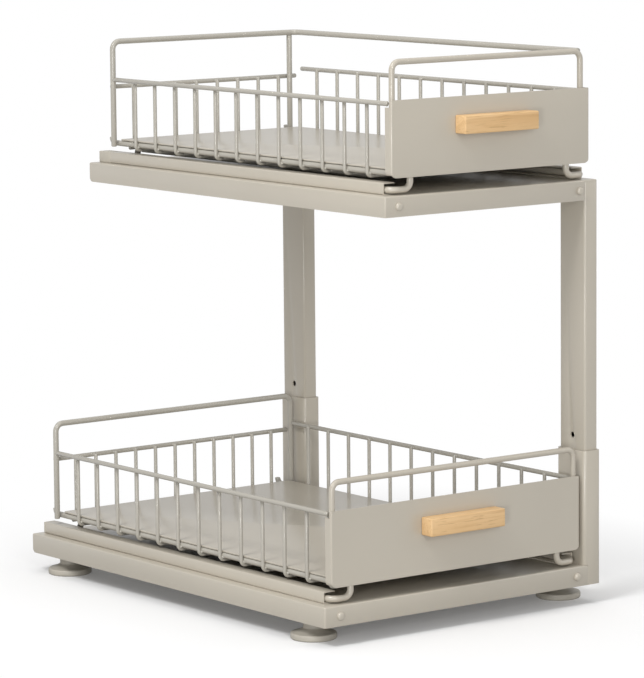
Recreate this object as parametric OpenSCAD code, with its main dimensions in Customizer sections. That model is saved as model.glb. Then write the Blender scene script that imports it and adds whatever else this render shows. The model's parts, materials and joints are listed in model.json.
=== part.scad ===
// Two-tier pull-out cabinet basket. A low base deck carries two telescoping posts on its right,
// and the posts carry a narrower upper deck. Each deck has two C-channels, and in them slide
// the bent runner wires of a welded wire basket with a sheet front and a wooden handle.
// Millimetres. X runs to the right, Y to the back and Z up.

/* [Decks] */
// Width of the lower deck
lower_deck_width = 293; // [270:1:340]
// Step from the lower deck's left side to the upper deck's left side
upper_deck_step = 65.7; // [40:0.1:90]
// Depth of both decks
deck_depth = 425; // [380:1:480]
// Height from the lower deck's top to the upper deck's top
tier_height = 325; // [290:1:400]
// Height of a deck's folded edges
flange_height = 17; // [16:0.5:24]
// Thickness of a deck's sheet
deck_sheet = 1.2; // [0.8:0.1:1.6]
// Outside radius of a deck's folds
fold_radius = 1.5; // [0.8:0.1:2.5]
// Radius of the low corner at the back of a side flange
flange_corner = 4; // [2:0.5:8]

/* [Posts] */
// Width of a post, left to right
post_width = 14; // [10:0.5:20]
// Depth of a post, front to back
post_depth = 32; // [24:1:40]
// Wall of a post
post_wall = 1.5; // [1:0.1:2.5]
// Outside corner radius of a post
post_corner = 1.6; // [0.8:0.1:3]
// Wall of a sleeve
sleeve_wall = 1.7; // [1:0.1:2.5]
// Height of a sleeve
sleeve_height = 97; // [85:1:120]
// Running gap between a post and its sleeve
post_clearance = 0.3; // [0.2:0.05:0.5]
// Height of a post's lower end above the lower deck
post_foot = 30; // [27:1:40]
// Distance between the height holes of a post
height_step = 25; // [15:1:25]
// Number of height holes in a post
height_holes = 3; // [1:1:3]
// Diameter of a height hole
height_hole = 5; // [3:0.5:8]
// Height of the free hole above the sleeve
free_hole_rise = 12; // [6:1:20]

/* [Channels] */
// Height of a channel
channel_height = 9.8; // [9:0.1:14]
// Reach of a channel's flanges from its web
channel_reach = 11.5; // [9:0.5:15]
// Wall of a channel
channel_wall = 1; // [0.6:0.1:1.4]
// Distance from a deck's front edge to its channels
channel_setback = 13; // [10:0.5:20]
// Distance from the lower channels' back ends to the deck's back edge
lower_channel_gap = 8; // [6:1:40]
// Distance from the upper channels' back ends to the deck's back edge
upper_channel_gap = 20; // [18:1:40]
// Distance that a channel's web stands out past the basket's side
web_outset = 0.6; // [0:0.1:1.5]
// Least length of a stop inside its channel
stop_tongue = 6; // [4:0.5:12]
// Length of a lower stop behind its channel
lower_stop_head = 3; // [2:0.5:6]
// Length of an upper stop behind its channel
upper_stop_head = 17; // [4:0.5:17.5]

/* [Baskets] */
// Distance from the lower deck's left side to its basket
lower_basket_left = 9.3; // [3:0.1:12]
// Distance from the upper deck's left side to its basket
upper_basket_left = 9; // [3:0.1:12]
// Gap between the lower basket's right side and the sleeves
lower_basket_gap = 3; // [2:0.5:20]
// Distance from the upper basket's right side to its deck's right side
upper_basket_gap = 6.5; // [3:0.5:20]
// Distance from the middle of a basket's thick back wires to the deck's back edge
basket_back_gap = 22; // [18:1:60]
// Distance from a deck's front edge to the basket's face
face_setback = 3; // [0:0.5:6]
// Gap between the channels and the basket's wires above them
channel_gap = 1.8; // [1:0.1:4]
// Number of thin wires on a side of the lower basket
lower_side_count = 13; // [6:1:16]
// Number of thin wires on a side of the upper basket
upper_side_count = 12; // [6:1:16]
// Distance from the lower basket's face to its first side wire
lower_side_start = 9; // [9:0.5:50]
// Distance from the upper basket's face to its first side wire
upper_side_start = 38; // [9:0.5:50]
// Number of thin wires in the lower basket's back
lower_back_count = 11; // [4:1:14]
// Number of thin wires in the upper basket's back
upper_back_count = 8; // [4:1:12]
// Number of lengthwise wires under a basket's floor
long_wires = 4; // [2:1:8]
// Distance from a basket's face to the front ends of its lengthwise wires
long_wire_start = 65; // [42:1:80]
// Distance that a base wire runs on behind the back legs before it turns up
tail_reach = 7; // [1:0.5:10]
// Height of the side rails' middle above the deck
side_rail_height = 73.5; // [60:0.5:75]
// Drop of the back rail below the side rails
back_rail_drop = 6.5; // [5:0.5:12]
// Height of the lower basket's guards above its deck
lower_guard_height = 99; // [92:0.5:120]
// Height of the upper basket's guards above its deck
upper_guard_height = 106.8; // [92:0.5:130]
// Distance from the upper basket's right side to its guard's right rail
right_guard_inset = 6.8; // [4:0.1:12]

/* [Wires] */
// Diameter of the thin wires
thin_wire = 3.2; // [2.4:0.1:4]
// Diameter of the side and back rails
rail_wire = 4; // [3:0.1:5]
// Diameter of the frame and guard wires
frame_wire = 5; // [4:0.1:6]
// Diameter of the runner wires
runner_wire = 5.5; // [4.5:0.1:5.5]
// Bend radius of a runner at its middle line
runner_bend = 6.5; // [5:0.5:8]
// Distance from a runner to its upright hooks
hook_reach = 18.8; // [17:0.1:24]
// Bend radius of a guard at its middle line
guard_bend = 7; // [4:0.5:12]
// Bend radius at the upturned end of a base wire
tail_bend = 5; // [4:0.5:7]
// Running gap between a runner and its channel
runner_clearance = 0.3; // [0.2:0.05:0.5]

/* [Fronts and handles] */
// Height of a basket's front panel
panel_height = 62.6; // [50:0.1:70]
// Height of a front panel's lower edge above the deck
panel_lift = 13.9; // [11:0.1:14.4]
// Thickness of a front panel
panel_sheet = 1.2; // [0.8:0.1:1.5]
// Depth of a front panel's folded sides
panel_return = 8; // [6:0.5:8]
// Corner radius of a front panel at its bottom
panel_corner = 5.5; // [2:0.5:9]
// Outside radius of a front panel's folds
panel_fold = 1.6; // [1.5:0.1:2.5]
// Thickness of a basket's floor plate
floor_sheet = 1.2; // [0.8:0.1:2]
// Length of a handle
handle_length = 78; // [50:1:120]
// Height of a handle
handle_height = 15; // [10:0.5:20]
// Depth of a handle
handle_depth = 13.5; // [10:0.5:20]
// Height of a handle's middle above the deck
handle_middle = 54; // [40:0.5:60]
// Distance between a handle's screws
handle_screw_span = 48; // [30:1:48]
// Diameter of a handle's screws
handle_screw = 4; // [3:0.5:5]
// Length of a handle's screws inside the wood
handle_screw_bite = 9; // [5:0.5:9]

/* [Feet] */
// Gap between a side flange's low edge and the floor
floor_gap = 16.5; // [14:0.5:25]
// Distance from the deck's left side to the left feet's middles
left_foot_inset = 19; // [19:0.5:26]
// Distance from the deck's right side to the right feet's middles
right_foot_inset = 13; // [11:0.5:26]
// Distance from the deck's front to the front feet's middles
front_foot_inset = 40; // [25:1:60]
// Distance from the deck's back to the back feet's middles
back_foot_inset = 30; // [25:1:60]
// Diameter of a foot
foot_diameter = 38; // [28:1:38]
// Bevel of a foot's rim
foot_bevel = 1; // [0.5:0.1:1.5]
// Height of a foot's rim
foot_rim = 5.4; // [4:0.1:6]
// Rise of a foot's cone above its rim
foot_cone = 2.6; // [1:0.1:4]
// Diameter of a foot's collar
foot_collar = 17.5; // [15:0.5:22]
// Diameter of a foot's stud
stud_diameter = 8; // [5:0.5:8]
// Width of a foot nut across its flats
nut_width = 13; // [12:0.5:15]
// Height of a foot nut
nut_height = 10; // [8:0.5:10]
// Room at a stud's ends and over a foot's collar
stud_room = 1; // [0.5:0.1:2]

/* [Screws] */
// Diameter of the flange screws
flange_screw = 4; // [3:0.5:5]
// Diameter of the flange screws' heads
flange_screw_head = 7; // [6:0.5:9]
// Height of the flange screws' heads
flange_head_height = 2.4; // [1.5:0.1:3]
// Width of the flange screws' nuts across their flats
flange_nut_width = 7; // [6.5:0.5:8]
// Height of the flange screws' nuts
flange_nut_height = 3.2; // [2:0.1:4]
// Height of the flange screws below a deck's top
flange_screw_drop = 8.8; // [7:0.1:10]
// Distance from the lower deck's left side to its first flange screw
lower_screw_left = 15.8; // [12:0.1:30]
// Distance from the lower deck's right side to its second flange screw
lower_screw_right = 26; // [22:0.1:30]
// Distance from the upper deck's left side to its first flange screw
upper_screw_left = 14; // [12:0.1:30]
// Distance from the upper deck's right side to its second flange screw
upper_screw_right = 19.2; // [18.7:0.1:30]
// Diameter of a post's lock screw
lock_screw = 5; // [4:0.5:6]
// Diameter of a lock screw's head
lock_screw_head = 9; // [8:0.5:12]
// Height of a lock screw's head
lock_head_height = 2.2; // [1.5:0.1:3]

/* [Fits] */
// Gap between welded or seated pieces
seat_gap = 0.3; // [0.2:0.05:0.4]
// Depth to which crossing wires sink into each other at a weld
weld_bite = 0.2; // [0.1:0.05:0.4]
// Gap round a screw in its hole
screw_gap = 0.3; // [0.2:0.05:0.4]

/* [Hidden] */
$fn = 32;

// Plain words for the two tiers, the turns of a bend and the plane it lies in
lower = 0;
upper = 1;
flat = [0, 0, 0];
across = [90, 0, 0];
lengthwise = [90, 0, 90];
past = 1;

// Sleeves and posts: the sleeves stand flush with the lower deck's right side and its ends
sleeve_width = post_width + 2 * (post_clearance + sleeve_wall);
sleeve_depth = post_depth + 2 * (post_clearance + sleeve_wall);
sleeve_left = lower_deck_width - sleeve_width;
post_inset = sleeve_wall + post_clearance;
post_left = sleeve_left + post_inset;
post_top = tier_height - deck_sheet - seat_gap;
free_hole_height = sleeve_height + free_hole_rise;
lock_height = free_hole_height - height_step;

// The two tiers side by side: [lower, upper]. The upper deck is flush with the posts' outer sides.
deck_left = [0, upper_deck_step];
deck_front = [0, post_inset];
deck_top = [0, tier_height];
deck_width = [lower_deck_width, post_left + post_width - upper_deck_step];
deck_length = [deck_depth, deck_depth - 2 * post_inset];
basket_left = [lower_basket_left, upper_basket_left];
basket_width = [sleeve_left - lower_basket_gap - lower_basket_left,
    deck_width[upper] - upper_basket_gap - upper_basket_left];
basket_depth = [for (length = deck_length) length - face_setback - basket_back_gap];
channel_back = [deck_length[lower] - lower_channel_gap, deck_length[upper] - upper_channel_gap];
stop_head = [lower_stop_head, upper_stop_head];
side_count = [lower_side_count, upper_side_count];
side_start = [lower_side_start, upper_side_start];
back_count = [lower_back_count, upper_back_count];
guard_height = [lower_guard_height, upper_guard_height];
screw_left = [lower_screw_left, upper_screw_left];
screw_right = [lower_screw_right, upper_screw_right];

// Basket, measured from its left side, its face and its deck's top
floor_wire_height = channel_height + channel_gap + thin_wire / 2;
thin_bend = (frame_wire + thin_wire) / 2 - weld_bite;
base_height = floor_wire_height + thin_bend;
side_wire_inset = rail_wire + thin_wire / 2 - 2 * weld_bite;
base_inset = side_wire_inset + thin_bend;
leg_inset = frame_wire / 2;
leg_foot = base_height + frame_wire / 2 + seat_gap;
back_leg_foot = base_height - frame_wire / 2;
front_leg_inset = panel_sheet + seat_gap + frame_wire / 2;
back_rail_gap = frame_wire / 2 + seat_gap + rail_wire / 2;
back_rail_place = [for (depth = basket_depth) depth + back_rail_gap];
back_wire_place = [for (place = back_rail_place) place - side_wire_inset + rail_wire / 2];
base_back_place = [for (place = back_wire_place) place - thin_bend];
last_cross_gap = thin_bend + seat_gap + thin_wire / 2;
last_cross_place = [for (place = base_back_place) place - last_cross_gap];
back_rail_inset = leg_inset + rail_wire / 4;
back_rail_height = side_rail_height - back_rail_drop;
floor_height = base_height + frame_wire / 2 + seat_gap;
floor_top = floor_height + floor_sheet;
side_rail_start = panel_return + seat_gap;
side_rail_end = [for (depth = basket_depth) depth - frame_wire / 2 - seat_gap];

// Runners and their hooks
runner_inset = channel_wall + runner_clearance + runner_wire / 2 - web_outset;
runner_height = channel_wall + runner_clearance + runner_wire / 2;
hook_inset = runner_inset + hook_reach;
front_hook_place = panel_sheet + seat_gap + runner_wire / 2;
front_hook_top = floor_height - seat_gap;
rear_hook_top = floor_wire_height - thin_wire / 2 - seat_gap;
long_wire_inset = hook_inset + (runner_wire + thin_wire) / 2 + seat_gap;
long_wire_height = floor_wire_height - thin_wire + weld_bite;

// Feet, measured from the floor
deck_height = floor_gap + flange_height;
stud_foot = foot_rim - stud_room;
nut_top = deck_height - deck_sheet - seat_gap;
stud_top = nut_top - stud_room;
collar_top = nut_top - nut_height - stud_room;

// The origin is the middle of the floor under the whole product
right_reach = max(lock_head_height, foot_diameter / 2 - right_foot_inset);
origin_x = (lower_deck_width + right_reach) / 2;
origin_y = (deck_depth + face_setback - handle_depth) / 2;

stop_room = runner_wire / 2 + runner_clearance;

// The rear hooks stand under the last cross wire, and the stops reach up to them
function rear_hook_place(tier) =
    min(last_cross_place[tier], channel_back[tier] - face_setback - stop_tongue - stop_room);
function tongue_length(tier) =
    channel_back[tier] - face_setback - rear_hook_place(tier) - stop_room;
function side_wire_place(tier, wire) =
    side_start[tier] + wire * (basket_depth[tier] - side_start[tier]) / side_count[tier];
function back_wire_inset(tier, wire) =
    leg_inset + (wire + 1) * (basket_width[tier] - 2 * leg_inset) / (back_count[tier] + 1);

// ---- Places ----

module on_deck(tier)
    translate([deck_left[tier] - origin_x, deck_front[tier] - origin_y,
        deck_top[tier] + deck_height]) children();

module in_basket(tier)
    on_deck(tier) translate([basket_left[tier], face_setback, 0]) children();

module mirrored(tier)
    translate([basket_width[tier], 0, 0]) mirror([1, 0, 0]) children();

// ---- Wire shapes ----

module wire_x(from, to, y, z, diameter)
    translate([from, y, z]) rotate([0, 90, 0]) cylinder(h = to - from, d = diameter);

module wire_y(from, to, x, z, diameter)
    translate([x, from, z]) rotate([-90, 0, 0]) cylinder(h = to - from, d = diameter);

module wire_z(from, to, x, y, diameter)
    translate([x, y, from]) cylinder(h = to - from, d = diameter);

// A quarter turn about a middle point, in the named plane; quarters count from the right
module bend(middle, plane, quarter, radius, diameter)
    translate(middle) rotate(plane) rotate([0, 0, 90 * quarter])
        rotate_extrude(angle = 90) translate([radius, 0]) circle(d = diameter);

// ---- Sheet and tube shapes ----

module rounded_tube(width, depth, height, corner) {
    translate([corner, 0, 0]) cube([width - 2 * corner, depth, height]);
    translate([0, corner, 0]) cube([width, depth - 2 * corner, height]);
    for (x = [corner, width - corner], y = [corner, depth - corner])
        translate([x, y, 0]) cylinder(h = height, r = corner);
}

// A slab with its two upper long edges rounded, lying along Y
module folded_slab(width, length, height, radius) {
    cube([width, length, height - radius]);
    translate([radius, 0, 0]) cube([width - 2 * radius, length, height]);
    for (x = [radius, width - radius])
        translate([x, 0, height - radius]) rotate([-90, 0, 0]) cylinder(h = length, r = radius);
}

// Where the outer walls of the sleeves run down past the lower deck as its right corners, and
// where the posts stand in the upper deck's right corners
module deck_notches(tier) {
    width = deck_width[tier];
    length = deck_length[tier];
    tube = tier == lower ? [sleeve_width, sleeve_depth] : [post_width, post_depth];
    wall = sleeve_wall + seat_gap;
    top = tier == lower ? flange_height + past : flange_height - deck_sheet;
    for (front = [true, false])
        translate([width, front ? 0 : length, 0]) mirror([0, front ? 0 : 1, 0]) difference() {
            translate([-tube[0] - seat_gap, -past, -past])
                cube([tube[0] + seat_gap + past, tube[1] + seat_gap + past, top + past]);
            if (tier == lower)
                translate([-tube[0] - seat_gap - past, wall, -2 * past])
                    cube([tube[0] + seat_gap + past - wall, tube[1] + 2 * past, top + 4 * past]);
        }
}

module deck(tier) {
    width = deck_width[tier];
    length = deck_length[tier];
    inner = [width - 2 * deck_sheet, length - 2 * deck_sheet, flange_height];
    on_deck(tier) translate([0, 0, -flange_height]) difference() {
        intersection() {
            folded_slab(width, length, flange_height, fold_radius);
            translate([width, 0, 0]) rotate([0, 0, 90])
                folded_slab(length, width, flange_height, fold_radius);
        }
        translate([deck_sheet, deck_sheet, -deck_sheet]) cube(inner);
        deck_notches(tier);
        // The back flange ends above the rounded low corners of the side flanges
        translate([deck_sheet, length - deck_sheet - past, -past])
            cube([width - 2 * deck_sheet, deck_sheet + 2 * past, flange_corner + 2 * past]);
        difference() {
            translate([-past, length - flange_corner, -past])
                cube([width + 2 * past, flange_corner + past, flange_corner + past]);
            translate([-2 * past, length - flange_corner, flange_corner])
                rotate([0, 90, 0]) cylinder(h = width + 4 * past, r = flange_corner);
        }
        for (x = [screw_left[tier], width - screw_right[tier]])
            translate([x, -past, flange_height - flange_screw_drop]) rotate([-90, 0, 0])
                cylinder(h = deck_sheet + 2 * past, d = flange_screw + 2 * screw_gap);
    }
}

module channel(tier) {
    length = channel_back[tier] - channel_setback;
    room = channel_height - 2 * channel_wall;
    translate([-web_outset, channel_setback - face_setback, 0]) difference() {
        cube([channel_reach, length, channel_height]);
        translate([channel_wall, -past, channel_wall])
            cube([channel_reach, length + 2 * past, room]);
    }
}

module rear_stop(tier) {
    room = channel_height - 2 * (channel_wall + seat_gap);
    translate([-web_outset, channel_back[tier] - face_setback, 0]) {
        translate([channel_wall + seat_gap, -tongue_length(tier), channel_wall + seat_gap])
            cube([channel_reach - channel_wall - seat_gap, tongue_length(tier) + 2 * seat_gap,
                room]);
        translate([0, seat_gap, 0])
            cube([channel_reach, stop_head[tier], channel_height]);
    }
}

// A sleeve's two outer walls run down to the low edge of the deck's flanges, with square ends
module sleeve_skirt(corner) difference() {
    intersection() {
        cube([sleeve_width, sleeve_depth, flange_height + past]);
        translate([-corner, 0, 0])
            rounded_tube(sleeve_width + corner, sleeve_depth + corner, flange_height, corner);
    }
    translate([-sleeve_wall, sleeve_wall, -past])
        cube([sleeve_width, sleeve_depth, flange_height + 2 * past]);
}

module sleeve(front) {
    corner = post_corner + post_inset;
    back = front == 0 ? 0 : 1;
    on_deck(lower) translate([sleeve_left, front, 0]) difference() {
        union() {
            rounded_tube(sleeve_width, sleeve_depth, sleeve_height, corner);
            translate([0, back * sleeve_depth, -flange_height]) mirror([0, back, 0])
                sleeve_skirt(corner);
        }
        translate([sleeve_wall, sleeve_wall, -past])
            rounded_tube(sleeve_width - 2 * sleeve_wall, sleeve_depth - 2 * sleeve_wall,
                sleeve_height + 2 * past, post_corner + post_clearance);
        translate([sleeve_width - sleeve_wall - past, sleeve_depth / 2, lock_height])
            rotate([0, 90, 0])
                cylinder(h = sleeve_wall + 2 * past, d = lock_screw + 2 * screw_gap);
    }
}

module post(front) {
    inner = [post_width - 2 * post_wall, post_depth - 2 * post_wall, post_top];
    on_deck(lower) translate([post_left, front, post_foot]) difference() {
        rounded_tube(post_width, post_depth, post_top - post_foot, post_corner);
        translate([post_wall, post_wall, -past]) cube(inner);
        for (hole = [0:height_holes - 1])
            translate([-past, post_depth / 2, free_hole_height - hole * height_step - post_foot])
                rotate([0, 90, 0]) cylinder(h = post_wall + 2 * past, d = height_hole);
    }
}

// ---- Fasteners ----

// A round-headed screw along Z, its head on top of z = 0
module screw(diameter, length, head, head_height) {
    rotate_extrude() polygon([[0, -length], [diameter / 2, -length], [diameter / 2, 0],
        [head / 2, 0], [head / 2, head_height / 2], [head / 4, head_height], [0, head_height]]);
}

module hex_nut(width, height, bore) {
    corner_to_corner = 2 * width / sqrt(3);
    difference() {
        cylinder(h = height, d = corner_to_corner, $fn = 6);
        translate([0, 0, -past]) cylinder(h = height + 2 * past, d = bore);
    }
}

module at_flange_screws(tier)
    on_deck(tier)
        for (x = [screw_left[tier], deck_width[tier] - screw_right[tier]])
            translate([x, 0, -flange_screw_drop]) rotate([90, 0, 0]) children();

module flange_screws(tier)
    at_flange_screws(tier)
        screw(flange_screw, deck_sheet + seat_gap + flange_nut_height + past,
            flange_screw_head, flange_head_height);

module flange_nuts(tier)
    at_flange_screws(tier) translate([0, 0, -deck_sheet - seat_gap - flange_nut_height])
        hex_nut(flange_nut_width, flange_nut_height, flange_screw + 2 * screw_gap);

module post_lock_screws()
    on_deck(lower)
        for (middle = [sleeve_depth / 2, deck_depth - sleeve_depth / 2])
            translate([lower_deck_width, middle, lock_height]) rotate([0, 90, 0])
                screw(lock_screw, sleeve_wall, lock_screw_head, lock_head_height);

// ---- Feet ----

foot_x = [left_foot_inset, lower_deck_width - right_foot_inset];
foot_y = [front_foot_inset, deck_depth - back_foot_inset];

module at_foot(side, end)
    translate([foot_x[side] - origin_x, foot_y[end] - origin_y, 0]) children();

module foot(side, end) {
    rim = foot_diameter / 2;
    bore = stud_diameter / 2 + seat_gap;
    at_foot(side, end) rotate_extrude() polygon([[0, 0], [rim - foot_bevel, 0],
        [rim, foot_bevel], [rim, foot_rim - foot_bevel], [rim - foot_bevel, foot_rim],
        [foot_collar / 2, foot_rim + foot_cone],
        [foot_collar / 2, collar_top], [bore, collar_top], [bore, stud_foot - seat_gap],
        [0, stud_foot - seat_gap]]);
}

module stud(side, end)
    at_foot(side, end) wire_z(stud_foot, stud_top, 0, 0, stud_diameter);

module all_foot_nuts()
    for (side = [0, 1], end = [0, 1])
        at_foot(side, end) translate([0, 0, nut_top - nut_height])
            hex_nut(nut_width, nut_height, stud_diameter + 2 * screw_gap);

// ---- Baskets ----

module front_panel(tier) {
    width = basket_width[tier];
    inside = [width - 2 * panel_sheet, panel_return, panel_height + 2 * past];
    in_basket(tier) translate([0, 0, panel_lift]) difference() {
        intersection() {
            // Front sheet with its two sides folded back
            union() {
                translate([0, panel_fold, 0])
                    cube([width, panel_return - panel_fold, panel_height]);
                translate([panel_fold, 0, 0])
                    cube([width - 2 * panel_fold, panel_return, panel_height]);
                for (x = [panel_fold, width - panel_fold])
                    translate([x, panel_fold, 0]) cylinder(h = panel_height, r = panel_fold);
            }
            // Rounded low corners
            union() {
                translate([0, 0, panel_corner])
                    cube([width, panel_return, panel_height - panel_corner]);
                translate([panel_corner, 0, 0])
                    cube([width - 2 * panel_corner, panel_return, panel_height]);
                for (x = [panel_corner, width - panel_corner])
                    translate([x, 0, panel_corner]) rotate([-90, 0, 0])
                        cylinder(h = panel_return, r = panel_corner);
            }
        }
        translate([panel_sheet, panel_sheet, -past]) cube(inside);
        for (side = [-1, 1])
            translate([width / 2 + side * handle_screw_span / 2, -past, handle_middle - panel_lift])
                rotate([-90, 0, 0])
                    cylinder(h = panel_sheet + 2 * past, d = handle_screw + 2 * screw_gap);
    }
}

module handle(tier)
    in_basket(tier) translate([basket_width[tier] / 2, 0, handle_middle]) difference() {
        translate([-handle_length / 2, -handle_depth, -handle_height / 2])
            cube([handle_length, handle_depth, handle_height]);
        for (side = [-1, 1])
            translate([side * handle_screw_span / 2, past, 0]) rotate([90, 0, 0])
                cylinder(h = handle_screw_bite + seat_gap + past, d = handle_screw + 2 * screw_gap);
    }

module handle_screws(tier)
    in_basket(tier)
        for (side = [-1, 1])
            translate([basket_width[tier] / 2 + side * handle_screw_span / 2, panel_sheet,
                handle_middle]) rotate([-90, 0, 0])
                    screw(handle_screw, panel_sheet + handle_screw_bite,
                        2 * handle_screw, handle_screw / 2);

// The floor plate lies on the base wires, between the thin wires of the two sides
module floor_plate(tier) {
    edge = side_wire_inset + thin_wire / 2 + seat_gap;
    front = panel_sheet + seat_gap;
    back = basket_depth[tier] - frame_wire / 2 - seat_gap;
    in_basket(tier) translate([edge, front, floor_height])
        cube([basket_width[tier] - 2 * edge, back - front, floor_sheet]);
}

// Cross wires join the bent feet of the side wires, and one more joins those of the back wires.
// The long wires are welded under them.
module floor_wires(tier) {
    inset = base_inset + thin_bend + seat_gap;
    last = last_cross_place[tier];
    span = basket_width[tier] - 2 * long_wire_inset;
    sides = [for (wire = [0:side_count[tier] - 1]) side_wire_place(tier, wire)];
    in_basket(tier) {
        for (place = concat(sides, [last]))
            wire_x(inset, basket_width[tier] - inset, place, floor_wire_height, thin_wire);
        for (wire = [0:long_wires - 1])
            wire_y(long_wire_start, last, long_wire_inset + wire * span / (long_wires - 1),
                long_wire_height, thin_wire);
    }
}

// One side: rail, base wire with its upturned tail, and thin wires bent in under the floor
module side_grille(tier) {
    tail = basket_depth[tier] + tail_reach;
    wire_y(side_rail_start, side_rail_end[tier], rail_wire / 2, side_rail_height, rail_wire);
    wire_y(panel_sheet + seat_gap, tail, base_inset, base_height, frame_wire);
    bend([base_inset, tail, base_height + tail_bend], lengthwise, 3, tail_bend, frame_wire);
    for (wire = [0:side_count[tier] - 1]) {
        place = side_wire_place(tier, wire);
        wire_z(base_height, side_rail_height + rail_wire / 4, side_wire_inset, place, thin_wire);
        bend([base_inset, place, base_height], across, 2, thin_bend, thin_wire);
        wire_x(base_inset, base_inset + thin_bend, place, floor_wire_height, thin_wire);
    }
}

module back_grille(tier) {
    end = base_inset + frame_wire / 2 + seat_gap;
    in_basket(tier) {
        wire_x(back_rail_inset, basket_width[tier] - back_rail_inset, back_rail_place[tier],
            back_rail_height, rail_wire);
        wire_x(end, basket_width[tier] - end, base_back_place[tier], base_height, frame_wire);
        for (wire = [0:back_count[tier] - 1]) {
            inset = back_wire_inset(tier, wire);
            wire_z(base_height, back_rail_height + rail_wire / 4, inset, back_wire_place[tier],
                thin_wire);
            bend([inset, base_back_place[tier], base_height], lengthwise, 3, thin_bend,
                thin_wire);
            wire_y(base_back_place[tier] - thin_bend, base_back_place[tier], inset,
                floor_wire_height, thin_wire);
        }
    }
}

// A guard hoop across the basket: two legs joined by a top bar
module hoop(tier, left_inset, right_inset, place, foot_height) {
    top = guard_height[tier];
    right = basket_width[tier] - right_inset;
    in_basket(tier) {
        wire_z(foot_height, top - guard_bend, left_inset, place, frame_wire);
        bend([left_inset + guard_bend, place, top - guard_bend], across, 1, guard_bend,
            frame_wire);
        wire_x(left_inset + guard_bend, right - guard_bend, place, top, frame_wire);
        bend([right - guard_bend, place, top - guard_bend], across, 0, guard_bend, frame_wire);
        wire_z(foot_height, top - guard_bend, right, place, frame_wire);
    }
}

// One bent wire: up at the back left, across the back and forward along the right
module cornered_guard(tier) {
    top = guard_height[tier];
    back = basket_depth[tier];
    right = basket_width[tier] - right_guard_inset;
    front_end = front_leg_inset + frame_wire / 2 + seat_gap;
    in_basket(tier) {
        wire_z(back_leg_foot, top - guard_bend, leg_inset, back, frame_wire);
        bend([leg_inset + guard_bend, back, top - guard_bend], across, 1, guard_bend,
            frame_wire);
        wire_x(leg_inset + guard_bend, right - guard_bend, back, top, frame_wire);
        bend([right - guard_bend, back - guard_bend, top], flat, 0, guard_bend, frame_wire);
        wire_y(front_end, back - guard_bend, right, top, frame_wire);
    }
}

// The upright under the guard's back right corner
module back_upright(tier)
    wire_z(leg_foot, guard_height[tier] - frame_wire / 2 - seat_gap,
        right_guard_inset + guard_bend, basket_depth[tier], frame_wire);

// A runner: straight in its channel, turned in at both ends and hooked up to the basket
module runner(tier) {
    rear = rear_hook_place(tier);
    turn = runner_inset + runner_bend;
    wire_y(front_hook_place + runner_bend, rear - runner_bend, runner_inset, runner_height,
        runner_wire);
    bend([turn, front_hook_place + runner_bend, runner_height], flat, 2, runner_bend,
        runner_wire);
    bend([turn, rear - runner_bend, runner_height], flat, 1, runner_bend, runner_wire);
    for (end = [[front_hook_place, front_hook_top], [rear, rear_hook_top]]) {
        wire_x(turn, hook_inset - runner_bend, end[0], runner_height, runner_wire);
        bend([hook_inset - runner_bend, end[0], runner_height + runner_bend], across, 3,
            runner_bend, runner_wire);
        wire_z(runner_height + runner_bend, end[1], hook_inset, end[0], runner_wire);
    }
}

// ---- Sub-parts ----

paint = [0.73, 0.70, 0.65];
wood = [0.89, 0.75, 0.53];
steel = [0.62, 0.63, 0.64];
plastic = [0.60, 0.59, 0.56];

module base_deck() color(paint) deck(lower);
module lower_left_channel() color(paint) in_basket(lower) channel(lower);
module lower_right_channel() color(paint) in_basket(lower) mirrored(lower) channel(lower);
module front_sleeve() color(paint) sleeve(0);
module back_sleeve() color(paint) sleeve(deck_depth - sleeve_depth);
module lower_rear_stops() color(plastic) in_basket(lower) {
    rear_stop(lower);
    mirrored(lower) rear_stop(lower);
}
module lower_flange_screws() color(paint) flange_screws(lower);
module lower_flange_nuts() color(steel) flange_nuts(lower);
module foot_nuts() color(steel) all_foot_nuts();
module lock_screws() color(steel) post_lock_screws();

module front_left_foot() color(plastic) foot(0, 0);
module front_right_foot() color(plastic) foot(1, 0);
module back_left_foot() color(plastic) foot(0, 1);
module back_right_foot() color(plastic) foot(1, 1);
module front_left_stud() color(steel) stud(0, 0);
module front_right_stud() color(steel) stud(1, 0);
module back_left_stud() color(steel) stud(0, 1);
module back_right_stud() color(steel) stud(1, 1);

module upper_deck() color(paint) deck(upper);
module front_post() color(paint) post(sleeve_wall + post_clearance);
module back_post() color(paint) post(deck_depth - sleeve_depth + sleeve_wall + post_clearance);
module upper_left_channel() color(paint) in_basket(upper) channel(upper);
module upper_right_channel() color(paint) in_basket(upper) mirrored(upper) channel(upper);
module upper_rear_stops() color(plastic) in_basket(upper) {
    rear_stop(upper);
    mirrored(upper) rear_stop(upper);
}
module upper_flange_screws() color(paint) flange_screws(upper);
module upper_flange_nuts() color(steel) flange_nuts(upper);

module lower_front_panel() color(paint) front_panel(lower);
module lower_handle() color(wood) handle(lower);
module lower_handle_screws() color(steel) handle_screws(lower);
module lower_floor_plate() color(paint) floor_plate(lower);
module lower_floor_wires() color(paint) floor_wires(lower);
module lower_left_wires() color(paint) in_basket(lower) side_grille(lower);
module lower_right_wires() color(paint) in_basket(lower) mirrored(lower) side_grille(lower);
module lower_back_wires() color(paint) back_grille(lower);
module lower_left_runner() color(paint) in_basket(lower) runner(lower);
module lower_right_runner() color(paint) in_basket(lower) mirrored(lower) runner(lower);
module lower_back_guard() color(paint)
    hoop(lower, leg_inset, leg_inset, basket_depth[lower], back_leg_foot);
module lower_front_guard() color(paint)
    hoop(lower, front_leg_inset, front_leg_inset, front_leg_inset, leg_foot);

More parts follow.
